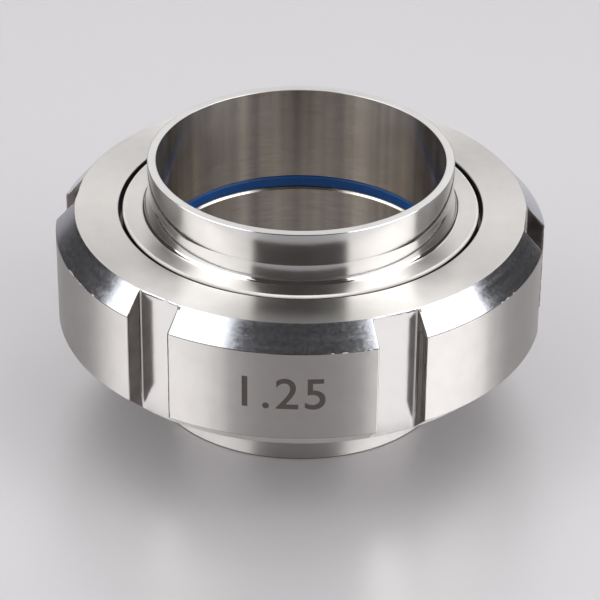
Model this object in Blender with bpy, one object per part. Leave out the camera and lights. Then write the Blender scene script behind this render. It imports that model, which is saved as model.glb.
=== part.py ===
"""A sanitary union for a 31.8 mm tube.

A slotted ring nut draws the weld liner down on a blue seal ring, which sits in a groove
in the face of the threaded male part. The axis of the tube is +Z and the male part's
weld end stands on the origin plane.
"""

import math

import bmesh
import bpy
from mathutils import Matrix

MM = 0.001
TURN = 2.0 * math.pi

# Tube and weld ends
TUBE_OUTER_DIAMETER = 31.8 * MM
TUBE_WALL = 0.89 * MM
UPPER_STUB_LENGTH = 5.49 * MM
LOWER_STUB_LENGTH = 7.4 * MM
STRAIGHT_LENGTH = 3.5 * MM
FLARE_RISE = 0.35 * MM
FOOT_FILLET = 0.45 * MM

# Liner hub, which fills the nut's mouth, and the collar below it
HUB_FACE_WIDTH = 1.84 * MM
COLLAR_STEP = 1.8 * MM
COLLAR_THICKNESS = 2.25 * MM
COLLAR_BREAK = 0.2 * MM

# Seal ring and its groove
SEAL_WIDTH = 3.2 * MM
SEAL_THICKNESS = 1.3 * MM
SEAL_EDGE_RADIUS = 0.25 * MM
GROOVE_DEPTH = 1.15 * MM
BORE_EDGE_RADIUS = 0.3 * MM

# Male part
MALE_BODY_HEIGHT = 8.6 * MM
MALE_LEAD_IN = 0.95 * MM
MALE_RIM_DROP = 0.2 * MM
MALE_RUN_OUT = 0.6 * MM

# Ring nut
NUT_HEIGHT = 14.35 * MM
LIP_THICKNESS = 2.45 * MM
NUT_COUNTERSINK = 0.6 * MM
RELIEF_HEIGHT = 1.7 * MM
RELIEF_DEPTH = 0.2 * MM
WALL_BEHIND_SLOT = 1.2 * MM
TOP_BEVEL_WIDTH = 2.02 * MM
TOP_BEVEL_HEIGHT = 2.35 * MM
BOTTOM_BEVEL_WIDTH = 2.3 * MM
BOTTOM_BEVEL_HEIGHT = 2.15 * MM
MOUTH_BREAK = 0.12 * MM

# Spanner slots round the nut
SLOT_COUNT = 6
SLOT_WIDTH = 5.0 * MM
SLOT_DEPTH = 2.16 * MM
SLOT_CORNER_RADIUS = 0.4 * MM
SLOT_HEADING = math.radians(23.6 - 90.0)
CUTTER_OVERSHOOT = 1.0 * MM

# Round thread, eight turns to the inch, right-handed
THREAD_PITCH = 25.4 / 8.0 * MM
THREAD_DEPTH = 1.0 * MM
FLANK_STEEPNESS = 1.35

# Clearances
NUT_MOUTH_CLEARANCE = 0.45 * MM
COLLAR_SIDE_CLEARANCE = 0.65 * MM
COLLAR_SEAT_CLEARANCE = 0.3 * MM
SEAL_SEAT_CLEARANCE = 0.1 * MM
SEAL_SIDE_CLEARANCE = 0.3 * MM
THREAD_CLEARANCE = 0.3 * MM

# Facets
SIDES = 72
ROWS_PER_PITCH = 8
FILLET_STEPS = 4
SMOOTH_ANGLE = math.radians(32.0)
SAME_PLACE = 0.001 * MM

# Radii worked out from the sizes above
TUBE_RADIUS = TUBE_OUTER_DIAMETER / 2.0
BORE_RADIUS = TUBE_RADIUS - TUBE_WALL
FLARED_RADIUS = TUBE_RADIUS + FLARE_RISE
HUB_RADIUS = FLARED_RADIUS + FOOT_FILLET + HUB_FACE_WIDTH
COLLAR_RADIUS = HUB_RADIUS + COLLAR_STEP
MOUTH_RADIUS = HUB_RADIUS + NUT_MOUTH_CLEARANCE
NUT_CREST_RADIUS = COLLAR_RADIUS + COLLAR_SIDE_CLEARANCE
NUT_ROOT_RADIUS = NUT_CREST_RADIUS + THREAD_DEPTH
MALE_ROOT_RADIUS = NUT_CREST_RADIUS - THREAD_CLEARANCE
RELIEF_RADIUS = NUT_ROOT_RADIUS + RELIEF_DEPTH
SLOT_FLOOR_RADIUS = RELIEF_RADIUS + WALL_BEHIND_SLOT
NUT_RADIUS = SLOT_FLOOR_RADIUS + SLOT_DEPTH
SEAL_OUTER_RADIUS = BORE_RADIUS + SEAL_WIDTH
GROOVE_RADIUS = SEAL_OUTER_RADIUS + SEAL_SIDE_CLEARANCE

# Heights above the foot of the male part
MALE_RIM_HEIGHT = LOWER_STUB_LENGTH + MALE_BODY_HEIGHT
SEAL_BOTTOM = MALE_RIM_HEIGHT - GROOVE_DEPTH + SEAL_SEAT_CLEARANCE
LINER_FACE = SEAL_BOTTOM + SEAL_THICKNESS + SEAL_SEAT_CLEARANCE
COLLAR_TOP = LINER_FACE + COLLAR_THICKNESS
LIP_UNDERSIDE = COLLAR_TOP + COLLAR_SEAT_CLEARANCE
NUT_TOP = LIP_UNDERSIDE + LIP_THICKNESS
NUT_BOTTOM = NUT_TOP - NUT_HEIGHT
THREAD_START = MALE_RIM_HEIGHT - MALE_LEAD_IN
THREAD_STEP = THREAD_PITCH / SIDES


def clear_scene():
    for item in list(bpy.data.objects):
        bpy.data.objects.remove(item, do_unlink=True)


def metal(name, colour, roughness):
    material = bpy.data.materials.new(name)
    material.use_nodes = True
    shader = material.node_tree.nodes["Principled BSDF"]
    shader.inputs["Base Color"].default_value = (*colour, 1.0)
    shader.inputs["Metallic"].default_value = 1.0
    shader.inputs["Roughness"].default_value = roughness
    return material


def rubber(name, colour):
    material = bpy.data.materials.new(name)
    material.use_nodes = True
    shader = material.node_tree.nodes["Principled BSDF"]
    shader.inputs["Base Color"].default_value = (*colour, 1.0)
    shader.inputs["Metallic"].default_value = 0.0
    shader.inputs["Roughness"].default_value = 0.55
    return material


def arc(centre, radius, start, end, steps=FILLET_STEPS):
    """Points on an arc in the profile plane, angles in degrees from +X towards +Z."""
    points = []
    for index in range(steps + 1):
        angle = math.radians(start + (end - start) * index / steps)
        points.append((centre[0] + radius * math.cos(angle), centre[1] + radius * math.sin(angle)))
    return points


def spin_profile(mesh, points, closed):
    """Turn a profile of (radius, height) points once round the tube's axis."""
    verts = [mesh.verts.new((radius, 0.0, height)) for radius, height in points]
    pairs = list(zip(verts, verts[1:]))
    if closed:
        pairs.append((verts[-1], verts[0]))
    edges = [mesh.edges.new(pair) for pair in pairs]
    bmesh.ops.spin(
        mesh,
        geom=verts + edges,
        cent=(0.0, 0.0, 0.0),
        axis=(0.0, 0.0, 1.0),
        angle=TURN,
        steps=SIDES,
        use_merge=True,
    )


def thread_profile(root_radius, phase):
    """Radius of the round thread at a phase, where a whole number is the middle of a crest."""
    wave = FLANK_STEEPNESS * math.cos(TURN * phase)
    wave = max(-1.0, min(1.0, wave))
    return root_radius + THREAD_DEPTH * (wave + 1.0) / 2.0


def thread_step_at(height):
    """The nearest whole step of the helix to a height above the male part's foot."""
    return round((height - THREAD_START) / THREAD_STEP)


def thread_band(mesh, root_radius, low_step, high_step, base):
    """The helical wall between two heights, given in steps of the helix.

    The rows follow the helix, so crests and roots stay sharp, and both ends are cut flat.
    Every point lies on a whole step, so rows meet the flat ends exactly at a corner.
    """
    corners = {}
    row_steps = SIDES // ROWS_PER_PITCH

    def corner(row, side):
        step = max(low_step, min(high_step, row * row_steps + side))
        key = (side % SIDES, step)
        if key not in corners:
            angle = TURN * side / SIDES
            radius = thread_profile(root_radius, (step - side) / SIDES)
            height = THREAD_START + step * THREAD_STEP - base
            corners[key] = mesh.verts.new((radius * math.cos(angle), radius * math.sin(angle), height))
        return corners[key]

    first_row = math.floor((low_step - SIDES) / row_steps)
    last_row = math.ceil(high_step / row_steps)
    for row in range(first_row, last_row):
        for side in range(SIDES):
            lower = [corner(row, side), corner(row, side + 1)]
            upper = [corner(row + 1, side + 1), corner(row + 1, side)]
            distinct = list(dict.fromkeys(lower + upper))
            if len(distinct) > 2:
                mesh.faces.new(distinct)
    bottom = [corners[(side, low_step)] for side in range(SIDES)]
    top = [corners[(side, high_step)] for side in range(SIDES)]
    return bottom, top


def ring_edges(verts):
    """The edges of a closed ring of corners."""
    edges = []
    for here, following in zip(verts, verts[1:] + verts[:1]):
        shared = set(here.link_edges) & set(following.link_edges)
        edges.extend(shared)
    return edges


def open_ring_near(mesh, height, radius):
    """The open edges of the spun profile that lie on a circle at a height."""

    def on_circle(vert):
        reach = math.hypot(vert.co.x, vert.co.y)
        return abs(vert.co.z - height) < SAME_PLACE and abs(reach - radius) < SAME_PLACE

    return [edge for edge in mesh.edges if edge.is_boundary and all(map(on_circle, edge.verts))]


def join_rings(mesh, ring, height, radius):
    """Close the wall between the thread's flat end and the turned profile's open end."""
    edges = ring_edges(ring) + open_ring_near(mesh, height, radius)
    bmesh.ops.bridge_loops(mesh, edges=edges)


def finish_piece(mesh, name, material, height):
    """Make an object of the mesh, with its origin on the tube's axis at a height."""
    bmesh.ops.remove_doubles(mesh, verts=mesh.verts[:], dist=SAME_PLACE)
    bmesh.ops.recalc_face_normals(mesh, faces=mesh.faces[:])
    data = bpy.data.meshes.new(name)
    mesh.to_mesh(data)
    mesh.free()
    data.shade_smooth()
    data.set_sharp_from_angle(angle=SMOOTH_ANGLE)
    data.materials.append(material)
    piece = bpy.data.objects.new(name, data)
    piece.location = (0.0, 0.0, height)
    bpy.context.collection.objects.link(piece)
    return piece


def weld_end(face, tip):
    """Outside of a weld end, from the fillet on its face to the outer edge of its tip.

    The tube runs straight back from the tip, and past a crease it widens to its foot.
    """
    way = 1.0 if tip > face else -1.0
    crease = tip - way * STRAIGHT_LENGTH
    centre = (FLARED_RADIUS + FOOT_FILLET, face + way * FOOT_FILLET)
    fillet = arc(centre, FOOT_FILLET, -90.0 * way, -180.0 * way)
    return [*fillet, (TUBE_RADIUS, crease), (TUBE_RADIUS, tip)]


def make_liner(material):
    """The upper weld end with its hub, its collar and the flat face that meets the seal."""
    collar_top = COLLAR_THICKNESS
    hub_top = NUT_TOP - LINER_FACE
    tip = hub_top + UPPER_STUB_LENGTH
    profile = [
        (BORE_RADIUS, 0.0),
        (COLLAR_RADIUS - COLLAR_BREAK, 0.0),
        (COLLAR_RADIUS, COLLAR_BREAK),
        (COLLAR_RADIUS, collar_top - COLLAR_BREAK),
        (COLLAR_RADIUS - COLLAR_BREAK, collar_top),
        (HUB_RADIUS, collar_top),
        (HUB_RADIUS, hub_top - MOUTH_BREAK),
        (HUB_RADIUS - MOUTH_BREAK, hub_top),
        *weld_end(hub_top, tip),
        (BORE_RADIUS, tip),
    ]
    mesh = bmesh.new()
    spin_profile(mesh, profile, closed=True)
    return finish_piece(mesh, "liner", material, LINER_FACE)


def make_seal(material):
    """The flat rubber ring, flush with the bore and rounded at its inner edges."""
    radius = SEAL_EDGE_RADIUS
    top = SEAL_THICKNESS
    inner = BORE_RADIUS + radius
    profile = [
        *arc((inner, radius), radius, 180.0, 270.0),
        (SEAL_OUTER_RADIUS, 0.0),
        (SEAL_OUTER_RADIUS, top),
        *arc((inner, top - radius), radius, 90.0, 180.0),
    ]
    mesh = bmesh.new()
    spin_profile(mesh, profile, closed=True)
    return finish_piece(mesh, "seal_ring", material, SEAL_BOTTOM)


def make_male_part(material):
    """The lower weld end with the threaded body and the groove that holds the seal."""
    rim = MALE_RIM_HEIGHT
    floor = rim - GROOVE_DEPTH
    rim_radius = MALE_ROOT_RADIUS - MALE_RIM_DROP
    edge = BORE_EDGE_RADIUS
    upper = [
        (rim_radius, rim),
        (GROOVE_RADIUS, rim),
        (GROOVE_RADIUS, floor),
        *arc((BORE_RADIUS + edge, floor - edge), edge, 90.0, 180.0),
        (BORE_RADIUS, 0.0),
    ]
    lower = [*reversed(weld_end(LOWER_STUB_LENGTH, 0.0)), (rim_radius, LOWER_STUB_LENGTH)]
    mesh = bmesh.new()
    spin_profile(mesh, upper + lower, closed=False)
    low_step = thread_step_at(LOWER_STUB_LENGTH + MALE_RUN_OUT)
    bottom, top = thread_band(mesh, MALE_ROOT_RADIUS, low_step, 0, 0.0)
    join_rings(mesh, top, rim, rim_radius)
    join_rings(mesh, bottom, LOWER_STUB_LENGTH, rim_radius)
    return finish_piece(mesh, "male_part", material, 0.0)


def slot_cutter():
    """One bar for each spanner slot, with the round corners that the milling leaves."""
    mesh = bmesh.new()
    reach = SLOT_DEPTH + CUTTER_OVERSHOOT
    height = NUT_HEIGHT + 2.0 * CUTTER_OVERSHOOT
    for index in range(SLOT_COUNT):
        bar = bmesh.ops.create_cube(mesh, size=1.0)["verts"]
        bmesh.ops.scale(mesh, vec=(reach, SLOT_WIDTH, height), verts=bar)
        bmesh.ops.translate(mesh, vec=(SLOT_FLOOR_RADIUS + reach / 2.0, 0.0, NUT_HEIGHT / 2.0), verts=bar)
        floor_edges = [
            edge
            for edge in {edge for vert in bar for edge in vert.link_edges}
            if all(vert.co.x < SLOT_FLOOR_RADIUS + SAME_PLACE for vert in edge.verts)
            and abs(edge.verts[0].co.y - edge.verts[1].co.y) < SAME_PLACE
        ]
        rounded = bmesh.ops.bevel(
            mesh,
            geom=floor_edges,
            offset=SLOT_CORNER_RADIUS,
            affect="EDGES",
            segments=FILLET_STEPS,
            profile=0.5,
            material=-1,
        )
        whole = {vert for vert in bar if vert.is_valid} | set(rounded["verts"])
        turn = Matrix.Rotation(SLOT_HEADING + TURN * index / SLOT_COUNT, 3, "Z")
        bmesh.ops.rotate(mesh, cent=(0.0, 0.0, 0.0), matrix=turn, verts=list(whole))
    data = bpy.data.meshes.new("slot_cutter")
    mesh.to_mesh(data)
    mesh.free()
    cutter = bpy.data.objects.new("slot_cutter", data)
    cutter.display_type = "WIRE"
    cutter.hide_render = True
    bpy.context.collection.objects.link(cutter)
    return cutter


def make_nut(material):
    """The ring nut: a lip over the liner's collar, a relief, the thread and six slots."""
    lip = LIP_UNDERSIDE - NUT_BOTTOM
    relief = lip - RELIEF_HEIGHT
    top = NUT_HEIGHT
    profile = [
        (RELIEF_RADIUS, relief),
        (RELIEF_RADIUS, lip),
        (MOUTH_RADIUS, lip),
        (MOUTH_RADIUS, top - MOUTH_BREAK),
        (MOUTH_RADIUS + MOUTH_BREAK, top),
        (NUT_RADIUS - TOP_BEVEL_WIDTH, top),
        (NUT_RADIUS, top - TOP_BEVEL_HEIGHT),
        (NUT_RADIUS, BOTTOM_BEVEL_HEIGHT),
        (NUT_RADIUS - BOTTOM_BEVEL_WIDTH, 0.0),
        (RELIEF_RADIUS, 0.0),
    ]
    mesh = bmesh.new()
    spin_profile(mesh, profile, closed=False)
    low_step = thread_step_at(NUT_BOTTOM + NUT_COUNTERSINK)
    high_step = thread_step_at(NUT_BOTTOM + relief - RELIEF_DEPTH)
    bottom, thread_top = thread_band(mesh, NUT_CREST_RADIUS, low_step, high_step, NUT_BOTTOM)
    join_rings(mesh, thread_top, relief, RELIEF_RADIUS)
    join_rings(mesh, bottom, 0.0, RELIEF_RADIUS)
    nut = finish_piece(mesh, "slotted_nut", material, NUT_BOTTOM)
    cutter = slot_cutter()
    cutter.parent = nut
    cut = nut.modifiers.new("spanner_slots", "BOOLEAN")
    cut.operation = "DIFFERENCE"
    cut.solver = "EXACT"
    cut.object = cutter
    return nut


def main():
    clear_scene()
    turned_steel = metal("turned_steel", (0.62, 0.61, 0.59), 0.28)
    polished_steel = metal("polished_steel", (0.60, 0.59, 0.57), 0.14)
    blue_rubber = rubber("blue_rubber", (0.012, 0.045, 0.16))
    make_male_part(polished_steel)
    make_seal(blue_rubber)
    liner = make_liner(polished_steel)
    nut = make_nut(turned_steel)
    nut.parent = liner
    nut.location.z = NUT_BOTTOM - LINER_FACE


main()
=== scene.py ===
"""Looks of the sanitary union: finely turned pieces, their finishes, and a pale studio."""

import math

import bmesh
import bpy
from mathutils import Matrix, Quaternion, Vector, noise


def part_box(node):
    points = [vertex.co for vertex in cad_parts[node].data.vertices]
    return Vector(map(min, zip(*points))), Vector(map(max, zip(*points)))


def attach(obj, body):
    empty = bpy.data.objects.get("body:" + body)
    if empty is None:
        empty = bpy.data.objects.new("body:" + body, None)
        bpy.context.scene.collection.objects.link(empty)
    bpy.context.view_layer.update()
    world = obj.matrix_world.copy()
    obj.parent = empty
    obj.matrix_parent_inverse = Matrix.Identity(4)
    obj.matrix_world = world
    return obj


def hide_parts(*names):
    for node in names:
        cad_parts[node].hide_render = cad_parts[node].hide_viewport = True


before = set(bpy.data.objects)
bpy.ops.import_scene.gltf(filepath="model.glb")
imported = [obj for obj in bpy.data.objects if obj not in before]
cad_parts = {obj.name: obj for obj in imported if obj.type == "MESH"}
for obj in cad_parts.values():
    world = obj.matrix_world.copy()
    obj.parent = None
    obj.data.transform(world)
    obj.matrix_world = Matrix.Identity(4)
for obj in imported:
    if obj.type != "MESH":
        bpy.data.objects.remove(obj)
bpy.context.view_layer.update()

MM = 0.001
TURN = 2.0 * math.pi

# Heights and radii that the frame gives
LINER_LOW, LINER_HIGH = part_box("liner")
NUT_LOW, NUT_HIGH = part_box("slotted_nut")
MALE_LOW, MALE_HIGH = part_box("male_part")
SEAL_LOW, SEAL_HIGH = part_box("seal_ring")
LINER_FACE, TIP = LINER_LOW.z, LINER_HIGH.z
NUT_BOTTOM, NUT_TOP = NUT_LOW.z, NUT_HIGH.z
FOOT, MALE_RIM = MALE_LOW.z, MALE_HIGH.z
COLLAR_RADIUS = -LINER_LOW.y
NUT_RADIUS = -NUT_LOW.y - 0.01 * MM
SEAL_RADIUS = -SEAL_LOW.y

# Sizes of the pieces, as they are turned
TUBE_RADIUS = 15.9 * MM
TUBE_WALL = 0.89 * MM
BORE_RADIUS = TUBE_RADIUS - TUBE_WALL
STRAIGHT_LENGTH = 3.5 * MM
FLARED_RADIUS = TUBE_RADIUS + 0.35 * MM
FOOT_FILLET = 0.45 * MM
HUB_RADIUS = FLARED_RADIUS + FOOT_FILLET + 1.84 * MM
MOUTH_RADIUS = HUB_RADIUS + 0.45 * MM
COLLAR_TOP = LINER_FACE + 2.25 * MM
LIP_UNDERSIDE = COLLAR_TOP + 0.3 * MM
RELIEF_HEIGHT = 1.7 * MM
MALE_SHOULDER = FOOT + 7.4 * MM
GROOVE_RADIUS = SEAL_RADIUS + 0.3 * MM
GROOVE_FLOOR = SEAL_LOW.z - 0.1 * MM
BORE_CHAMFER = 0.22 * MM
TOP_BEVEL_WIDTH = 2.02 * MM
TOP_BEVEL_HEIGHT = 2.35 * MM
BOTTOM_BEVEL_WIDTH = 2.3 * MM
BOTTOM_BEVEL_HEIGHT = 2.15 * MM
COUNTERSINK = 0.6 * MM
COUNTERSINK_WIDTH = 0.4 * MM

# Roundings and small chamfers of the edges
HUB_EDGE = 0.24 * MM
TIP_EDGE = 0.1 * MM
FLARE_BLEND = 0.35 * MM
COLLAR_EDGE = 0.2 * MM
INNER_FILLET = 0.15 * MM
SEAL_EDGE = 0.25 * MM
GROOVE_EDGE = 0.08 * MM
CHAMFER_EDGE = 0.04 * MM
BEVEL_EDGE = 0.18 * MM
FLANK_EDGE = 0.12 * MM
PLAIN_EDGE = 0.1 * MM
CRISP_EDGE = 0.05 * MM
RIM_CHAMFER = 0.3 * MM

# Number marked on the nut's front, and the thickness of its skin
MARK_NUMBER = "1.25"
MARK_HEADING = math.radians(-93.4)
MARK_HEIGHT = 14.4 * MM
DIGIT_HEIGHT = 3.6 * MM
MARK_STRIP = 0.3 * MM
MARK_SKIN = 0.008 * MM
MARK_SPACING = 1.12
MARK_THICKENING = 0.008

# Round thread, eight turns to the inch, right-handed
THREAD_PITCH = 25.4 / 8.0 * MM
THREAD_DEPTH = 1.0 * MM
THREAD_CLEARANCE = 0.3 * MM
NUT_CREST_RADIUS = COLLAR_RADIUS + 0.65 * MM
NUT_ROOT_RADIUS = NUT_CREST_RADIUS + THREAD_DEPTH
MALE_ROOT_RADIUS = NUT_CREST_RADIUS - THREAD_CLEARANCE
MALE_RIM_RADIUS = MALE_ROOT_RADIUS - 0.2 * MM
RELIEF_RADIUS = NUT_ROOT_RADIUS + 0.2 * MM
FLANK_STEEPNESS = 1.35
THREAD_START = MALE_RIM - 0.95 * MM
RUN_OUT = 0.6 * MM
RUN_OUT_STEEPNESS = 1.2
MALE_THREAD_TRIM = 0.05 * MM
NUT_THREAD_TRIM = (0.1 * MM, 0.3 * MM)

# Spanner slots
SLOT_COUNT = 6
SLOT_WIDTH = 5.0 * MM
SLOT_FLOOR = RELIEF_RADIUS + 1.2 * MM
SLOT_CORNER = 0.25 * MM
SLOT_EDGE = 0.15 * MM
SLOT_HEADING = math.radians(23.6 - 90.0)

# Burrs along the tops of the slots, by depth below the nut's top, and the torn edges of the slots
BURR_ROWS = (0.05 * MM, 0.1 * MM, 0.2 * MM, 0.3 * MM, 0.36 * MM)
BURR_RIDGE = 0.1 * MM
BURR_END = 0.3 * MM
BURR_HEIGHT = 0.09 * MM
BURR_GRAIN = 0.4 * MM
BURR_MEAN = 0.8
TEAR_DEPTH = 0.12 * MM
TEAR_REACH = 1.4 * SLOT_EDGE
CLEAN_REACH = 0.4 * SLOT_EDGE
FLANK_ROWS = 24

# Worn stretches of the bevel's lower edge, in degrees from the front
WORN_STRETCHES = ((-67.0, -54.0), (6.5, 16.0), (52.0, 58.0))
WORN_WIDTH = 0.25 * MM
WORN_HOLD = 0.06 * MM
NICK_DEPTH = 0.16 * MM
NICK_GRAIN = 0.3 * MM
NICK_START = 0.1
NICK_BAND = 0.12 * MM
NICK_REACH = 0.2 * MM

# How near a face lies to a plane or an edge to take its finish
ON_FLOOR = 0.01 * MM
ON_FACE = 0.02 * MM
ON_TIP = 0.03 * MM
ON_EDGE = 0.12 * MM
ON_BORE = 0.28 * MM
ON_FLANK_FOOT = 0.025 * MM

# Fineness of the turned and milled surfaces
SIDES = 288
ROUND_STEPS = 4
HOLD = 0.05 * MM
FLOOR_COLUMNS = 16
CORNER_COLUMNS = 6
WALL_SHARES = (0.02, 0.2, 0.45, 0.7, 0.9, 0.985)
EDGE_COLUMNS = 3
LOBE_COLUMNS = 40
SECTOR_COLUMNS = FLOOR_COLUMNS + CORNER_COLUMNS + len(WALL_SHARES) + EDGE_COLUMNS + LOBE_COLUMNS
THREAD_POINTS = 22
SAME_PLACE = 0.0005 * MM
SMOOTH_ANGLE = math.radians(40.0)

# Noise of the finishes: breaks of a turning mark and bands of chatter in a radian, the pitch of the
# broad marks in that of the fine ones, how much the fine lines show among the stained streaks, and
# the grain of the milled walls
MARK_BREAKS = 6.0
CHATTER_BANDS = 10.0
BROAD_PITCH = 6.0
LINE_SHARE = 0.22
MILLED_GRAIN = 0.2 * MM

# Camera, fitted to the circles of the union
CAMERA_ELEVATION = math.radians(31.634)
CAMERA_ROLL = math.radians(0.528)
CAMERA_DISTANCE = 310.0 * MM
CAMERA_AIM = Vector((0.0286 * MM, 0.0, 9.55 * MM))
CAMERA_LENS = 174.85
CAMERA_SENSOR = 36.0

# Table and lights
TABLE_HALF_WIDTH = 3.0
LIGHT_DISTANCE = 0.9


def rounded(corners, closed):
    """Outline through (radius, height, rounding) corners, each arc held by a point on both sides."""
    count = len(corners)
    points = []
    for index, (radius, height, rounding) in enumerate(corners):
        at_end = not closed and index in (0, count - 1)
        corner = Vector((radius, height))
        if at_end or rounding == 0.0:
            points.append(corner)
            continue
        before = Vector(corners[index - 1][:2]) - corner
        after = Vector(corners[(index + 1) % count][:2]) - corner
        half = before.angle(after) / 2.0
        reach = rounding / math.tan(half)
        inward = (before.normalized() + after.normalized()).normalized()
        middle = corner + inward * rounding / math.sin(half)
        start = corner + before.normalized() * reach
        end = corner + after.normalized() * reach
        first, last = (start - middle).normalized(), (end - middle).normalized()
        hold = min(HOLD, rounding)
        points.append(start + before.normalized() * hold)
        for step in range(ROUND_STEPS + 1):
            points.append(middle + first.slerp(last, step / ROUND_STEPS) * rounding)
        points.append(end + after.normalized() * hold)
    return points


def spin_outline(mesh, points, closed, sides, angle, climb=0.0):
    """Turn an outline round the tube's axis through an angle, and along it as well where it climbs."""
    verts = [mesh.verts.new((point[0], 0.0, point[1])) for point in points]
    pairs = list(zip(verts, verts[1:]))
    if closed:
        pairs.append((verts[-1], verts[0]))
    edges = [mesh.edges.new(pair) for pair in pairs]
    bmesh.ops.spin(
        mesh,
        geom=verts + edges,
        cent=(0.0, 0.0, 0.0),
        axis=(0.0, 0.0, 1.0),
        dvec=(0.0, 0.0, climb / sides),
        angle=angle,
        steps=sides,
    )


def repeat(mesh, copies, turn, rise):
    """Copy the mesh round and along the axis, and weld the copies where they meet."""
    whole = mesh.verts[:] + mesh.edges[:] + mesh.faces[:]
    for index in range(1, copies):
        copied = bmesh.ops.duplicate(mesh, geom=whole)["geom"]
        verts = [item for item in copied if isinstance(item, bmesh.types.BMVert)]
        turned = Matrix.Rotation(index * turn, 3, "Z")
        bmesh.ops.rotate(mesh, verts=verts, cent=(0.0, 0.0, 0.0), matrix=turned)
        bmesh.ops.translate(mesh, verts=verts, vec=(0.0, 0.0, index * rise))
    bmesh.ops.remove_doubles(mesh, verts=mesh.verts[:], dist=SAME_PLACE)


def turn_piece(corners, closed, sides=SIDES):
    """A piece turned from corners: one sector is spun, and its copies are welded into the round."""
    mesh = bmesh.new()
    spin_outline(mesh, rounded(corners, closed), closed, sides // SLOT_COUNT, TURN / SLOT_COUNT)
    repeat(mesh, SLOT_COUNT, TURN / SLOT_COUNT, 0.0)
    return mesh


def thread_radius(root_radius, phase):
    """Radius of the round thread at a phase, where a whole number is the middle of a crest."""
    wave = max(-1.0, min(1.0, FLANK_STEEPNESS * math.cos(TURN * phase)))
    return root_radius + THREAD_DEPTH * (wave + 1.0) / 2.0


def thread_wall(root_radius, low, high):
    """A helical strip one pitch tall, wound up past both ends and cut square there."""
    start = low - THREAD_PITCH
    outline = []
    for step in range(THREAD_POINTS + 1):
        height = start + THREAD_PITCH * step / THREAD_POINTS
        outline.append((thread_radius(root_radius, (height - THREAD_START) / THREAD_PITCH), height))
    mesh = bmesh.new()
    spin_outline(mesh, outline, False, SIDES, TURN, climb=THREAD_PITCH)
    repeat(mesh, math.ceil((high - start) / THREAD_PITCH), 0.0, THREAD_PITCH)
    for height, way in ((low, -1.0), (high, 1.0)):
        bmesh.ops.bisect_plane(
            mesh,
            geom=mesh.verts[:] + mesh.edges[:] + mesh.faces[:],
            dist=SAME_PLACE,
            plane_co=(0.0, 0.0, height),
            plane_no=(0.0, 0.0, way),
            clear_outer=True,
        )
    return mesh


def open_edges_at(mesh, height):
    """The open edges that lie in the plane at a height."""
    return [
        edge
        for edge in mesh.edges
        if edge.is_boundary and all(abs(vert.co.z - height) < SAME_PLACE for vert in edge.verts)
    ]


def join_thread(mesh, thread, joints):
    """Add the thread to a turned piece, and close the walls between their open ends."""
    ends = [(open_edges_at(mesh, turned), threaded) for turned, threaded in joints]
    scratch = bpy.data.meshes.new("thread")
    thread.to_mesh(scratch)
    thread.free()
    mesh.from_mesh(scratch)
    bpy.data.meshes.remove(scratch)
    for turned_edges, threaded in ends:
        thread_edges = [edge for edge in open_edges_at(mesh, threaded) if edge not in turned_edges]
        bmesh.ops.bridge_loops(mesh, edges=turned_edges + thread_edges)


def finish_piece(mesh, name, body, node, slot, finishes, kind_of):
    """Make an object of the mesh, give each face its kind of finish and set it on its body."""
    bmesh.ops.remove_doubles(mesh, verts=mesh.verts[:], dist=SAME_PLACE)
    bmesh.ops.recalc_face_normals(mesh, faces=mesh.faces[:])
    mesh.normal_update()
    kinds = []
    for face in mesh.faces:
        kind = kind_of(face)
        if kind not in kinds:
            kinds.append(kind)
        face.material_index = kinds.index(kind)
    data = bpy.data.meshes.new(name)
    mesh.to_mesh(data)
    mesh.free()
    data.shade_smooth()
    data.set_sharp_from_angle(angle=SMOOTH_ANGLE)
    for kind in kinds:
        data.materials.append(finishes[kind])
    piece = bpy.data.objects.new(name, data)
    bpy.context.scene.collection.objects.link(piece)
    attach(piece, body)
    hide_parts(node)
    return piece


def middle_of(face):
    """The middle of a face, and its distance from the axis."""
    centre = face.calc_center_median()
    return centre, math.hypot(centre.x, centre.y)


def weld_end(face, tip):
    """Corners of a weld end's outside, from the fillet on its face to the outer edge of its tip."""
    way = 1.0 if tip > face else -1.0
    return [
        (FLARED_RADIUS, face, FOOT_FILLET),
        (TUBE_RADIUS, tip - way * STRAIGHT_LENGTH, FLARE_BLEND),
        (TUBE_RADIUS, tip, TIP_EDGE),
        (BORE_RADIUS, tip, CRISP_EDGE),
    ]


def make_liner(finishes):
    """The upper weld end with its hub and the collar that the nut bears on."""
    corners = [
        (BORE_RADIUS, LINER_FACE, CRISP_EDGE),
        (COLLAR_RADIUS, LINER_FACE, COLLAR_EDGE),
        (COLLAR_RADIUS, COLLAR_TOP, COLLAR_EDGE),
        (HUB_RADIUS, COLLAR_TOP, INNER_FILLET),
        (HUB_RADIUS, NUT_TOP, HUB_EDGE),
        *weld_end(NUT_TOP, TIP),
    ]
    mesh = turn_piece(corners, closed=True)

    def kind_of(face):
        centre, reach = middle_of(face)
        if reach < BORE_RADIUS + HOLD and abs(face.normal.z) < 0.5:
            return "bored"
        if centre.z > TIP - ON_TIP:
            return "cut end"
        if reach < FLARED_RADIUS + FOOT_FILLET and centre.z > NUT_TOP + ON_FACE:
            return "polished"
        # The hub's rounded top edge takes near-white rough steel: a painted highlight line.
        if reach > HUB_RADIUS - HUB_EDGE and centre.z > NUT_TOP - HUB_EDGE:
            return "rim"
        if centre.z > NUT_TOP - ON_EDGE:
            return "faced"
        # The hub's outside, down inside the nut's mouth, takes near-black steel: painted shade in the
        # gap.
        if centre.z > COLLAR_TOP + HOLD and reach > HUB_RADIUS - HOLD:
            return "gap"
        return "turned"

    return finish_piece(mesh, "liner_turned", "liner", "liner", "polished_steel", finishes, kind_of)


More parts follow.
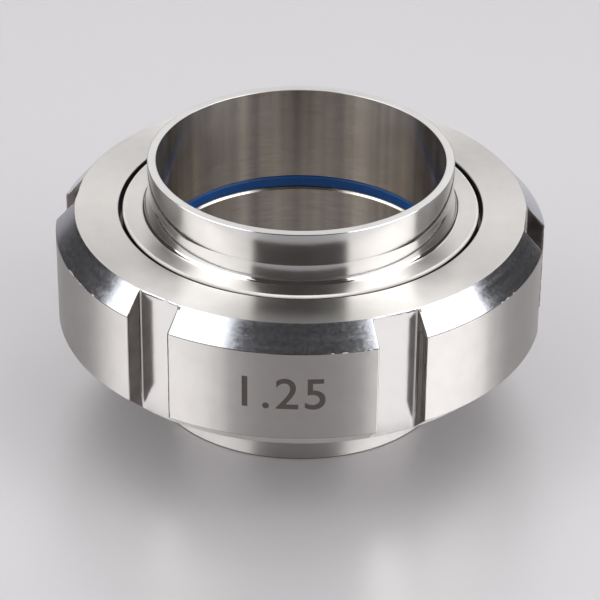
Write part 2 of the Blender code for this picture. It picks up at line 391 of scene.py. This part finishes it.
def make_seal(finishes):
    """The flat rubber ring, flush with the bore, with its inner edges rounded."""
    corners = [
        (BORE_RADIUS, SEAL_LOW.z, SEAL_EDGE),
        (SEAL_RADIUS, SEAL_LOW.z, CRISP_EDGE),
        (SEAL_RADIUS, SEAL_HIGH.z, CRISP_EDGE),
        (BORE_RADIUS, SEAL_HIGH.z, SEAL_EDGE),
    ]
    mesh = turn_piece(corners, closed=True)

    def kind_of(face):
        return "rubber"

    piece = (mesh, "seal_moulded", "male_part", "seal_ring", "blue_rubber")
    return finish_piece(*piece, finishes, kind_of)


def make_male_part(finishes):
    """The lower weld end with its threaded body and the groove that holds the seal."""
    lower_open = MALE_SHOULDER + RIM_CHAMFER
    corners = [
        (MALE_RIM_RADIUS, MALE_RIM, 0.0),
        (GROOVE_RADIUS, MALE_RIM, GROOVE_EDGE),
        (GROOVE_RADIUS, GROOVE_FLOOR, PLAIN_EDGE),
        (BORE_RADIUS + BORE_CHAMFER, GROOVE_FLOOR, CHAMFER_EDGE),
        (BORE_RADIUS, GROOVE_FLOOR - BORE_CHAMFER, CHAMFER_EDGE),
        *reversed(weld_end(MALE_SHOULDER, FOOT)),
        (MALE_RIM_RADIUS - RIM_CHAMFER, MALE_SHOULDER, 0.0),
        (MALE_RIM_RADIUS, lower_open, 0.0),
    ]
    mesh = turn_piece(corners, closed=False)
    low = MALE_SHOULDER + RUN_OUT
    high = MALE_RIM - MALE_THREAD_TRIM
    thread = thread_wall(MALE_ROOT_RADIUS, low, high)
    for vert in thread.verts:
        reach = math.hypot(vert.co.x, vert.co.y)
        room = MALE_RIM_RADIUS + RUN_OUT_STEEPNESS * min(MALE_RIM - vert.co.z, vert.co.z - lower_open)
        if reach > room:
            vert.co.xy *= room / reach
    join_thread(mesh, thread, [(MALE_RIM, high), (lower_open, low)])

    def kind_of(face):
        centre, reach = middle_of(face)
        if reach < BORE_RADIUS + ON_BORE and centre.z > FOOT + ON_FACE and abs(face.normal.z) < 0.9:
            return "bored"
        # The outer edge of the weld end's foot takes near-black steel: a painted contact shadow line.
        if reach > TUBE_RADIUS - TIP_EDGE and centre.z < FOOT + TIP_EDGE:
            return "painted shade edge"
        if centre.z < FOOT + ON_TIP:
            return "cut end"
        # The lower weld end's outside takes a lighter copy of the turned steel: painted light.
        if reach < FLARED_RADIUS + FOOT_FILLET and centre.z < MALE_SHOULDER - ON_FACE:
            return "foot"
        return "turned"

    piece = (mesh, "male_part_threaded", "male_part", "male_part", "polished_steel")
    return finish_piece(*piece, finishes, kind_of)


def slot_point(radius, column):
    """Where a point of the turned blank goes once the slots are milled, in its own slot's frame.

    The columns run from the middle of the slot's floor, round its corner, up its wall and
    over its edge, and on along the lobe to halfway to the next slot.
    """
    half_width = SLOT_WIDTH / 2.0

    def surface(across):
        return math.sqrt(radius * radius - across * across)

    step = column
    if step <= FLOOR_COLUMNS:
        across = (half_width - SLOT_CORNER) * step / FLOOR_COLUMNS
        return min(surface(across), SLOT_FLOOR), across
    step -= FLOOR_COLUMNS
    if step <= CORNER_COLUMNS:
        bend = math.pi / 2.0 * step / CORNER_COLUMNS
        across = half_width - SLOT_CORNER * (1.0 - math.sin(bend))
        return min(surface(across), SLOT_FLOOR + SLOT_CORNER * (1.0 - math.cos(bend))), across
    step -= CORNER_COLUMNS
    wall_foot = min(surface(half_width), SLOT_FLOOR + SLOT_CORNER)
    edge = min(SLOT_EDGE, surface(half_width) - wall_foot)
    wall_top = surface(half_width) - edge
    if step <= len(WALL_SHARES):
        return wall_foot + (wall_top - wall_foot) * WALL_SHARES[step - 1], half_width
    step -= len(WALL_SHARES)
    if step <= EDGE_COLUMNS:
        bend = math.pi / 2.0 * step / EDGE_COLUMNS
        across = half_width + edge * (1.0 - math.cos(bend))
        return surface(across) - edge * (1.0 - math.sin(bend)), across
    step -= EDGE_COLUMNS
    start = math.asin((half_width + edge) / radius)
    held = start + HOLD / radius
    share = (step - 1) / (LOBE_COLUMNS - 1)
    angle = held + (math.pi / SLOT_COUNT - held) * share
    return radius * math.cos(angle), radius * math.sin(angle)


def mill_slots(mesh):
    """Move the columns of the turned blank in to the floors, walls and edges of the slots."""
    sides = 2 * SECTOR_COLUMNS * SLOT_COUNT
    for vert in mesh.verts:
        radius = math.hypot(vert.co.x, vert.co.y)
        column = round(math.atan2(vert.co.y, vert.co.x) / TURN * sides)
        slot = round(column / (2 * SECTOR_COLUMNS))
        column -= slot * 2 * SECTOR_COLUMNS
        out, across = slot_point(radius, abs(column))
        place = Vector((out, math.copysign(across, column), vert.co.z))
        vert.co = Matrix.Rotation(SLOT_HEADING + slot * TURN / SLOT_COUNT, 3, "Z") @ place


def slot_way(centre):
    """The way out of the slot nearest to a point."""
    sector = TURN / SLOT_COUNT
    heading = SLOT_HEADING + sector * round((math.atan2(centre.y, centre.x) - SLOT_HEADING) / sector)
    return Vector((math.cos(heading), math.sin(heading), 0.0))


def place_in_slot(centre):
    """How far out along the nearest slot a point lies, and how far to its left or right."""
    way = slot_way(centre)
    return way.x * centre.x + way.y * centre.y, way.x * centre.y - way.y * centre.x


def in_slot(centre):
    """Whether a point lies beyond a slot's floor and between its walls, the torn edge included."""
    out, across = place_in_slot(centre)
    left, right = -SLOT_WIDTH / 2.0 - CLEAN_REACH, SLOT_WIDTH / 2.0 + TEAR_REACH
    return out > SLOT_FLOOR - ON_FLOOR and left < across < right


def raise_burrs(mesh):
    """Raise an uneven ridge along the top edge of each slot's floor."""
    for vert in mesh.verts:
        depth = NUT_TOP - vert.co.z
        out, across = place_in_slot(vert.co)
        on_floor = abs(out - SLOT_FLOOR) < ON_FACE and abs(across) < SLOT_WIDTH / 2.0 - SLOT_CORNER
        if on_floor and depth < BURR_END:
            share = min(depth / BURR_RIDGE, (BURR_END - depth) / (BURR_END - BURR_RIDGE))
            uneven = share * (BURR_MEAN + noise.noise(vert.co / BURR_GRAIN))
            vert.co += slot_way(vert.co) * uneven * BURR_HEIGHT


def tear_slot_edges(mesh):
    """Tear the edge of each slot where the cutter left the metal."""
    for vert in mesh.verts:
        across = place_in_slot(vert.co)[1]
        reach = math.hypot(vert.co.x, vert.co.y)
        if abs(across - SLOT_WIDTH / 2.0) < TEAR_REACH and reach > NUT_RADIUS - 2.0 * SLOT_EDGE:
            vert.co -= slot_way(vert.co) * max(0.0, noise.noise(vert.co / NICK_GRAIN)) * TEAR_DEPTH


def worn_at(place):
    """Whether a point of the nut's outside is on one of its worn stretches."""
    front = math.degrees(math.atan2(place.x, -place.y))
    return any(low < front < high for low, high in WORN_STRETCHES)


def nick_edge(mesh, height):
    """Nick the bevel's lower edge along its worn stretches."""
    for vert in mesh.verts:
        reach = math.hypot(vert.co.x, vert.co.y)
        near = abs(vert.co.z - height) < NICK_BAND and reach > NUT_RADIUS - NICK_REACH
        if near and worn_at(vert.co):
            bite = max(0.0, noise.noise(vert.co / NICK_GRAIN) - NICK_START) * NICK_DEPTH
            vert.co.xy *= 1.0 - bite / reach


def make_nut(finishes):
    """The ring nut, turned with its bevels and mouth, milled with six slots and threaded inside."""
    relief = LIP_UNDERSIDE - RELIEF_HEIGHT
    sunk = NUT_BOTTOM + COUNTERSINK
    bevel_foot = NUT_TOP - TOP_BEVEL_HEIGHT
    bevel_low = NUT_RADIUS - BOTTOM_BEVEL_WIDTH
    flare = TOP_BEVEL_WIDTH / TOP_BEVEL_HEIGHT
    flank_top, flank_foot = bevel_foot - WORN_WIDTH, NUT_BOTTOM + BOTTOM_BEVEL_HEIGHT
    slot_reach = math.hypot(SLOT_FLOOR, SLOT_WIDTH / 2.0)
    slot_end = NUT_BOTTOM + (slot_reach - bevel_low) * BOTTOM_BEVEL_HEIGHT / BOTTOM_BEVEL_WIDTH
    corners = [
        (RELIEF_RADIUS, relief, 0.0),
        (RELIEF_RADIUS, LIP_UNDERSIDE, INNER_FILLET),
        (MOUTH_RADIUS, LIP_UNDERSIDE, PLAIN_EDGE),
        (MOUTH_RADIUS, NUT_TOP, PLAIN_EDGE),
        (NUT_RADIUS - TOP_BEVEL_WIDTH, NUT_TOP, CHAMFER_EDGE),
        *((NUT_RADIUS - TOP_BEVEL_WIDTH + depth * flare, NUT_TOP - depth, 0.0) for depth in BURR_ROWS),
        *(
            (NUT_RADIUS - rise * flare, bevel_foot + rise, 0.0)
            for rise in (WORN_WIDTH + WORN_HOLD, WORN_WIDTH)
        ),
        (NUT_RADIUS, bevel_foot, BEVEL_EDGE),
        *(
            (NUT_RADIUS, flank_top + (flank_foot - flank_top) * index / FLANK_ROWS, 0.0)
            for index in range(FLANK_ROWS)
        ),
        (NUT_RADIUS, flank_foot, FLANK_EDGE),
        (slot_reach, slot_end, 0.0),
        (bevel_low, NUT_BOTTOM, PLAIN_EDGE),
        (RELIEF_RADIUS + COUNTERSINK_WIDTH, NUT_BOTTOM, 0.0),
        (RELIEF_RADIUS, sunk, 0.0),
    ]
    mesh = turn_piece(corners, closed=False, sides=2 * SECTOR_COLUMNS * SLOT_COUNT)
    mill_slots(mesh)
    raise_burrs(mesh)
    tear_slot_edges(mesh)
    nick_edge(mesh, bevel_foot)
    low, high = sunk + NUT_THREAD_TRIM[0], relief - NUT_THREAD_TRIM[1]
    thread = thread_wall(NUT_CREST_RADIUS, low, high)
    join_thread(mesh, thread, [(relief, high), (sunk, low)])

    def kind_in_slot(face, centre):
        if NUT_TOP - BURR_RIDGE < centre.z < NUT_TOP - ON_FLOOR:
            return "bevelled"
        # The torn edges beside the slots take near-black steel: painted shade lines.
        if place_in_slot(centre)[1] > SLOT_WIDTH / 2.0:
            return "painted shade edge"
        on_floor = abs(face.normal.dot(slot_way(centre))) > 0.7 or face.normal.z > 0.5
        # The walls take a dark copy of the floor's milled steel: painted shade.
        return "slot floor" if on_floor else "painted shade slot wall"

    def kind_of(face):
        centre, reach = middle_of(face)
        # The nut's mouth, facing the hub, takes near-black steel: painted shade in the gap.
        if reach < MOUTH_RADIUS + HOLD and LIP_UNDERSIDE < centre.z < NUT_TOP - PLAIN_EDGE:
            return "gap"
        if reach < SLOT_FLOOR - ON_FLOOR and centre.z < NUT_TOP - ON_EDGE:
            return "turned"
        if in_slot(centre):
            return kind_in_slot(face, centre)
        # The bevel's lower edge and the flank's foot take near-black steel, painted shade lines, except
        # on the torn nicks of the worn stretches.
        if abs(centre.z - bevel_foot) < HOLD:
            return "torn" if worn_at(centre) and noise.noise(centre / NICK_GRAIN) > 0.0 else "painted shade edge"
        if abs(centre.z - flank_foot) < ON_FLANK_FOOT:
            return "painted shade edge"
        if face.normal.z > 0.95:
            return "faced"
        if face.normal.z > 0.3 and centre.z > bevel_foot - HOLD / 2.0:
            return "bevelled"
        return "turned"

    return finish_piece(mesh, "nut_slotted", "nut", "slotted_nut", "turned_steel", finishes, kind_of)


def flat_number():
    """The marked number as a flat mesh, upright in the plane of x and y and centred on it."""
    writing = bpy.data.curves.new("number", "FONT")
    writing.body = MARK_NUMBER
    writing.space_character = MARK_SPACING
    writing.offset = MARK_THICKENING
    holder = bpy.data.objects.new("number", writing)
    bpy.context.scene.collection.objects.link(holder)
    bpy.context.view_layer.update()
    flat = bpy.data.meshes.new_from_object(holder)
    mesh = bmesh.new()
    mesh.from_mesh(flat)
    bpy.data.objects.remove(holder)
    bpy.data.curves.remove(writing)
    bpy.data.meshes.remove(flat)
    low = Vector([min(vert.co[axis] for vert in mesh.verts) for axis in range(3)])
    high = Vector([max(vert.co[axis] for vert in mesh.verts) for axis in range(3)])
    bmesh.ops.translate(mesh, verts=mesh.verts[:], vec=(low + high) / -2.0)
    bmesh.ops.scale(mesh, verts=mesh.verts[:], vec=[DIGIT_HEIGHT / (high.y - low.y)] * 3)
    bmesh.ops.remove_doubles(mesh, verts=mesh.verts[:], dist=SAME_PLACE)
    return mesh


def make_mark(finishes):
    """The number, cut in upright strips, given its skin and wrapped round the nut."""
    mesh = flat_number()
    half = max(vert.co.x for vert in mesh.verts)
    strips = math.ceil(2.0 * half / MARK_STRIP)
    for index in range(1, strips):
        bmesh.ops.bisect_plane(
            mesh,
            geom=mesh.verts[:] + mesh.edges[:] + mesh.faces[:],
            dist=SAME_PLACE,
            plane_co=(index * MARK_STRIP - half, 0.0, 0.0),
            plane_no=(1.0, 0.0, 0.0),
        )
    raised = bmesh.ops.extrude_face_region(mesh, geom=mesh.faces[:], use_keep_orig=True)["geom"]
    skin = {item for item in raised if isinstance(item, bmesh.types.BMVert)}
    for vert in mesh.verts:
        angle = MARK_HEADING + vert.co.x / NUT_RADIUS
        reach = NUT_RADIUS + (MARK_SKIN if vert in skin else -MARK_SKIN)
        height = MARK_HEIGHT + vert.co.y
        vert.co = (reach * math.cos(angle), reach * math.sin(angle), height)

    def kind_of(face):
        return "etched"

    return finish_piece(mesh, "nut_number", "nut", "slotted_nut", "turned_steel", finishes, kind_of)


def add_node(tree, kind, inputs=None, **settings):
    """A shader node with its settings and its unlinked or linked inputs."""
    made = tree.nodes.new(kind)
    for key, value in settings.items():
        setattr(made, key, value)
    for key, value in (inputs or {}).items():
        socket = made.inputs[key]
        if isinstance(value, bpy.types.NodeSocket):
            tree.links.new(value, socket)
        else:
            socket.default_value = value
    return made


def new_material(name):
    """A new material, its nodes and its shader."""
    material = bpy.data.materials.new(name)
    material.use_nodes = True
    tree = material.node_tree
    return material, tree, tree.nodes["Principled BSDF"]


def around_axis(tree):
    """The place that is shaded, its part across the axis, and the way of that part."""
    place = add_node(tree, "ShaderNodeTexCoord").outputs["Object"]
    flat = add_node(tree, "ShaderNodeVectorMath", {0: place, 1: (1.0, 1.0, 0.0)}, operation="MULTIPLY")
    around = add_node(tree, "ShaderNodeVectorMath", {0: flat.outputs[0]}, operation="NORMALIZE")
    return place, flat.outputs[0], around.outputs[0]


def times(tree, value, factor):
    """A value multiplied by a fixed factor."""
    product = add_node(tree, "ShaderNodeMath", {0: value, 1: factor}, operation="MULTIPLY")
    return product.outputs[0]


def turning_marks(tree, along, pitch):
    """Noise that runs round the axis, fine across the marks and long along them."""
    place, flat, around = around_axis(tree)
    radius = add_node(tree, "ShaderNodeVectorMath", {0: flat}, operation="LENGTH")
    split = add_node(tree, "ShaderNodeSeparateXYZ", {0: around})
    height = add_node(tree, "ShaderNodeSeparateXYZ", {0: place})
    where = add_node(
        tree,
        "ShaderNodeCombineXYZ",
        {
            0: times(tree, radius.outputs["Value"], 1.0 / pitch),
            1: times(tree, height.outputs[2], 1.0 / pitch),
            2: times(tree, split.outputs[0], along),
        },
    )
    marks = add_node(
        tree,
        "ShaderNodeTexNoise",
        {
            "Vector": where.outputs[0],
            "W": times(tree, split.outputs[1], along),
            "Scale": 1.0,
            "Detail": 2.0,
            "Roughness": 0.6,
        },
        noise_dimensions="4D",
    )
    return marks.outputs["Fac"]


def upright_waves(tree, along):
    """Soft noise that changes only round the axis."""
    around = around_axis(tree)[2]
    waves = add_node(
        tree,
        "ShaderNodeTexNoise",
        {"Vector": around, "Scale": along, "Detail": 2.0, "Roughness": 0.5},
    )
    return waves.outputs["Fac"]


def blotches(tree, size):
    """Soft uneven patches of a given size in the metal."""
    place = add_node(tree, "ShaderNodeTexCoord").outputs["Object"]
    patches = add_node(
        tree,
        "ShaderNodeTexNoise",
        {"Vector": place, "Scale": 1.0 / size, "Detail": 3.0, "Roughness": 0.55},
    )
    return patches.outputs["Fac"]


def between(tree, value, low, high, start=0.0, end=1.0):
    """A value of noise brought to run from low to high."""
    ranged = add_node(
        tree,
        "ShaderNodeMapRange",
        {"Value": value, "From Min": start, "From Max": end, "To Min": low, "To Max": high},
    )
    return ranged.outputs["Result"]


def blend_tones(tree, shader, share, dark, light):
    """Colour the shader between a dark and a light tone by a share of noise."""
    tone = add_node(
        tree,
        "ShaderNodeMix",
        {"Factor": share, "A": (*dark, 1.0), "B": (*light, 1.0)},
        data_type="RGBA",
    )
    tree.links.new(tone.outputs["Result"], shader.inputs["Base Color"])


def turned_steel(name, tones, roughness, pull, marks, waves=0.0, patches=2.2 * MM, streaks=0.0):
    """Steel cut on a lathe: its marks run round the axis and pull its reflections out across them.

    The marks are given as their pitch and their depth, waves is the height of the soft upright
    bands that the lathe's chatter leaves, and patches is the size of the uneven patches. Streaks,
    where given, is how closely lighter and darker upright streaks follow each other in place of
    the patches.
    """
    pitch, bite = marks
    material, tree, shader = new_material(name)
    fine = turning_marks(tree, MARK_BREAKS, pitch)
    broad = turning_marks(tree, MARK_BREAKS / 2.0, BROAD_PITCH * pitch)
    patch = blotches(tree, patches)
    tone_share = between(tree, patch, 0.0, 1.0, 0.3, 0.7)
    if streaks:
        upright = upright_waves(tree, streaks)
        parts = {0: fine, 1: LINE_SHARE, 2: upright}
        lined = add_node(tree, "ShaderNodeMath", parts, operation="MULTIPLY_ADD")
        tone_share = between(tree, lined.outputs[0], 0.0, 1.0, 0.46, 0.76)
    blend_tones(tree, shader, tone_share, *tones)
    mixed = add_node(tree, "ShaderNodeMath", {0: broad, 1: patch}, operation="ADD")
    tree.links.new(between(tree, mixed.outputs[0], *roughness, 0.6, 1.4), shader.inputs["Roughness"])
    lines = add_node(tree, "ShaderNodeMath", {0: fine, 1: broad}, operation="ADD")
    chatter = add_node(
        tree,
        "ShaderNodeBump",
        {"Height": upright_waves(tree, CHATTER_BANDS), "Strength": 1.0, "Distance": waves},
    )
    bump = add_node(
        tree,
        "ShaderNodeBump",
        {
            "Height": lines.outputs[0],
            "Strength": 1.0,
            "Distance": bite,
            "Normal": chatter.outputs["Normal"],
        },
    )
    tree.links.new(bump.outputs["Normal"], shader.inputs["Normal"])
    tangent = add_node(tree, "ShaderNodeTangent", direction_type="RADIAL", axis="Z")
    tree.links.new(tangent.outputs["Tangent"], shader.inputs["Tangent"])
    shader.inputs["Metallic"].default_value = 1.0
    shader.inputs["Anisotropic"].default_value = pull
    shader.inputs["Anisotropic Rotation"].default_value = 0.25
    return material


def milled_steel(name, dark, light):
    """Steel cut by an end mill: faint upright marks on a smooth skin."""
    material, tree, shader = new_material(name)
    place = add_node(tree, "ShaderNodeTexCoord").outputs["Object"]
    drawn = add_node(tree, "ShaderNodeMapping", {"Vector": place, "Scale": (1.0, 1.0, 0.06)})
    lines = add_node(
        tree,
        "ShaderNodeTexNoise",
        {"Vector": drawn.outputs[0], "Scale": 1.0 / MILLED_GRAIN, "Detail": 3.0, "Roughness": 0.6},
    )
    blend_tones(tree, shader, blotches(tree, 1.5 * MM), dark, light)
    tree.links.new(between(tree, lines.outputs["Fac"], 0.12, 0.22), shader.inputs["Roughness"])
    bump = add_node(
        tree,
        "ShaderNodeBump",
        {"Height": lines.outputs["Fac"], "Strength": 1.0, "Distance": 0.002 * MM},
    )
    tree.links.new(bump.outputs["Normal"], shader.inputs["Normal"])
    shader.inputs["Metallic"].default_value = 1.0
    return material


def etched_steel():
    """The dull brown skin that marking leaves on steel."""
    material, tree, shader = new_material("etched_steel")
    patch = blotches(tree, 0.35 * MM)
    blend_tones(tree, shader, patch, (0.06, 0.05, 0.045), (0.12, 0.10, 0.09))
    tree.links.new(between(tree, patch, 0.45, 0.65), shader.inputs["Roughness"])
    shader.inputs["Metallic"].default_value = 0.5
    return material


def blue_rubber():
    """Satin blue seal rubber."""
    material, tree, shader = new_material("blue_rubber")
    patch = blotches(tree, 0.8 * MM)
    blend_tones(tree, shader, patch, (0.004, 0.07, 0.27), (0.010, 0.10, 0.35))
    tree.links.new(between(tree, patch, 0.4, 0.55), shader.inputs["Roughness"])
    bump = add_node(
        tree,
        "ShaderNodeBump",
        {"Height": patch, "Strength": 0.5, "Distance": 0.005 * MM},
    )
    tree.links.new(bump.outputs["Normal"], shader.inputs["Normal"])
    return material


def table_top():
    """A pale satin table that blurs what it reflects."""
    material, tree, shader = new_material("pale_table")
    cloud = blotches(tree, 60.0 * MM)
    blend_tones(tree, shader, cloud, (0.63, 0.615, 0.635), (0.65, 0.635, 0.655))
    shader.inputs["Roughness"].default_value = 0.4
    shader.inputs["IOR"].default_value = 1.6
    shader.inputs["Metallic"].default_value = 0.4
    mesh = bmesh.new()
    bmesh.ops.create_grid(mesh, x_segments=1, y_segments=1, size=TABLE_HALF_WIDTH)
    data = bpy.data.meshes.new("table")
    mesh.to_mesh(data)
    mesh.free()
    data.materials.append(material)
    table = bpy.data.objects.new("table", data)
    bpy.context.scene.collection.objects.link(table)


def make_camera():
    """The camera where the union was photographed from."""
    forward = Vector((0.0, math.cos(CAMERA_ELEVATION), -math.sin(CAMERA_ELEVATION)))
    level = Vector((1.0, 0.0, 0.0))
    upright = level.cross(forward)
    right = math.cos(CAMERA_ROLL) * level + math.sin(CAMERA_ROLL) * upright
    up = math.cos(CAMERA_ROLL) * upright - math.sin(CAMERA_ROLL) * level
    lens = bpy.data.cameras.new("camera")
    lens.sensor_width = CAMERA_SENSOR
    lens.lens = CAMERA_LENS
    lens.clip_start = 0.02
    lens.clip_end = 20.0
    camera = bpy.data.objects.new("camera", lens)
    turn = Matrix((right, up, -forward)).transposed()
    camera.matrix_world = Matrix.LocRotScale(CAMERA_AIM - CAMERA_DISTANCE * forward, turn, None)
    bpy.context.scene.collection.objects.link(camera)
    bpy.context.scene.camera = camera


def heading(azimuth, elevation):
    """The way from the union at an azimuth, 0 on the camera's side and 90 at +X, and an elevation."""
    turn, rise = math.radians(azimuth), math.radians(elevation)
    return Vector((math.sin(turn) * math.cos(rise), -math.cos(turn) * math.cos(rise), math.sin(rise)))


def softbox(name, place, facing, size, lean, brightness):
    """A large even light at a place seen from the union, facing a way, its top leaning to its right."""
    lamp = bpy.data.lights.new(name, "AREA")
    lamp.shape = "RECTANGLE"
    lamp.size, lamp.size_y = size
    lamp.energy = brightness * math.pi * lamp.size * lamp.size_y
    light = bpy.data.objects.new(name, lamp)
    light.rotation_mode = "QUATERNION"
    light.location = CAMERA_AIM + place
    leaning = Quaternion((0.0, 0.0, 1.0), math.radians(lean))
    light.rotation_quaternion = facing.to_track_quat("-Z", "Y") @ leaning
    light.visible_camera = False
    bpy.context.scene.collection.objects.link(light)


def side_panel(name, azimuth, span, wide, lean, brightness):
    """An upright softbox beside the union, from one elevation up to another."""
    low, high = (LIGHT_DISTANCE * math.tan(math.radians(edge)) for edge in span)
    place = heading(azimuth, 0.0) * LIGHT_DISTANCE + Vector((0.0, 0.0, (low + high) / 2.0))
    size = (2.0 * LIGHT_DISTANCE * math.tan(math.radians(wide) / 2.0), high - low)
    softbox(name, place, -heading(azimuth, 0.0), size, lean, brightness)


def hung_panel(name, azimuth, elevation, wide, tall, brightness):
    """A softbox hung above the table, square to the way to the union."""
    way = heading(azimuth, elevation)
    size = [2.0 * LIGHT_DISTANCE * math.tan(math.radians(angle) / 2.0) for angle in (wide, tall)]
    softbox(name, way * LIGHT_DISTANCE, -way, size, 0.0, brightness)


def light_studio():
    """A dim room with upright panels at both sides, and panels hung above and behind."""
    world = bpy.data.worlds.new("studio")
    world.use_nodes = True
    room = world.node_tree.nodes["Background"]
    room.inputs["Color"].default_value = (1.0, 0.93, 0.91, 1.0)
    room.inputs["Strength"].default_value = 0.062
    bpy.context.scene.world = world
    side_panel("left_panel", -66.5, (0.0, 54.0), 62.0, 5.0, 2.3)
    side_panel("right_panel", 65.0, (0.0, 53.0), 58.0, -11.0, 2.9)
    hung_panel("top_left_panel", -111.0, 62.0, 50.0, 22.0, 2.7)
    hung_panel("top_right_panel", 113.0, 62.0, 48.0, 21.0, 3.1)
    hung_panel("back_panel", 174.0, 33.0, 60.0, 28.0, 1.15)
    bpy.context.scene.view_settings.view_transform = "Standard"


def make_finishes():
    """Every finish, by the kind of surface that it is for."""
    return {
        "bored": turned_steel(
            "bored_steel",
            tones=((0.46, 0.43, 0.42), (0.88, 0.83, 0.74)),
            roughness=(0.2, 0.27),
            pull=0.85,
            marks=(0.2 * MM, 0.0025 * MM),
            waves=0.012 * MM,
            streaks=5.0,
        ),
        "cut end": turned_steel(
            "cut_end_steel",
            tones=((0.66, 0.65, 0.64), (0.72, 0.71, 0.70)),
            roughness=(0.3, 0.4),
            pull=0.5,
            marks=(0.05 * MM, 0.001 * MM),
        ),
        "polished": turned_steel(
            "polished_steel",
            tones=((0.62, 0.61, 0.60), (0.66, 0.65, 0.64)),
            roughness=(0.07, 0.12),
            pull=0.5,
            marks=(0.1 * MM, 0.0002 * MM),
        ),
        "faced": turned_steel(
            "faced_steel",
            tones=((0.62, 0.60, 0.58), (0.67, 0.65, 0.63)),
            roughness=(0.3, 0.36),
            pull=0.95,
            marks=(0.12 * MM, 0.001 * MM),
            waves=0.003 * MM,
        ),
        "turned": turned_steel(
            "turned_steel",
            tones=((0.62, 0.60, 0.58), (0.66, 0.64, 0.62)),
            roughness=(0.38, 0.44),
            pull=0.93,
            marks=(0.12 * MM, 0.001 * MM),
            waves=0.025 * MM,
        ),
        # Mottled bevel steel; the blue in its tones is a painted reflection of a bluish haze.
        "bevelled": turned_steel(
            "bevel_steel_painted_blue_reflection",
            tones=((0.56, 0.59, 0.67), (0.68, 0.69, 0.72)),
            roughness=(0.13, 0.27),
            pull=0.4,
            marks=(0.1 * MM, 0.0003 * MM),
            patches=0.35 * MM,
        ),
        "torn": turned_steel(
            "torn_steel",
            tones=((0.70, 0.68, 0.66), (0.82, 0.80, 0.78)),
            roughness=(0.45, 0.6),
            pull=0.0,
            marks=(0.08 * MM, 0.004 * MM),
        ),
        # Near-white rough steel for the hub's rounded edge: a painted highlight.
        "rim": turned_steel(
            "hub_rim_painted_highlight_steel",
            tones=((0.84, 0.82, 0.80), (0.92, 0.90, 0.88)),
            roughness=(0.8, 0.95),
            pull=0.0,
            marks=(0.1 * MM, 0.001 * MM),
        ),
        # Near-black steel for the faces in the gap between the hub and the nut's mouth: painted shade.
        "gap": turned_steel(
            "painted_shade_gap_steel",
            tones=((0.08, 0.075, 0.065), (0.15, 0.14, 0.13)),
            roughness=(0.35, 0.45),
            pull=0.5,
            marks=(0.1 * MM, 0.001 * MM),
        ),
        # Near-black steel for thin edges: painted shade lines.
        "painted shade edge": turned_steel(
            "painted_shade_edge_steel",
            tones=((0.08, 0.07, 0.07), (0.2, 0.18, 0.17)),
            roughness=(0.3, 0.4),
            pull=0.0,
            marks=(0.1 * MM, 0.001 * MM),
        ),
        # Lighter copy of the turned steel for the lower weld end: painted light on its shaded sides.
        "foot": turned_steel(
            "foot_painted_light_steel",
            tones=((0.70, 0.68, 0.66), (0.76, 0.74, 0.72)),
            roughness=(0.4, 0.46),
            pull=0.98,
            marks=(0.12 * MM, 0.001 * MM),
        ),
        "slot floor": milled_steel("slot_floor_steel", (0.70, 0.69, 0.67), (0.78, 0.77, 0.75)),
        # The walls' milled steel is a dark copy of the floor's: painted shade.
        "painted shade slot wall": milled_steel("painted_shade_slot_wall_steel", (0.16, 0.135, 0.125), (0.36, 0.325, 0.31)),
        "rubber": blue_rubber(),
        "etched": etched_steel(),
    }


def main():
    finishes = make_finishes()
    make_liner(finishes)
    make_seal(finishes)
    make_male_part(finishes)
    make_nut(finishes)
    make_mark(finishes)
    table_top()
    make_camera()
    light_studio()


main()
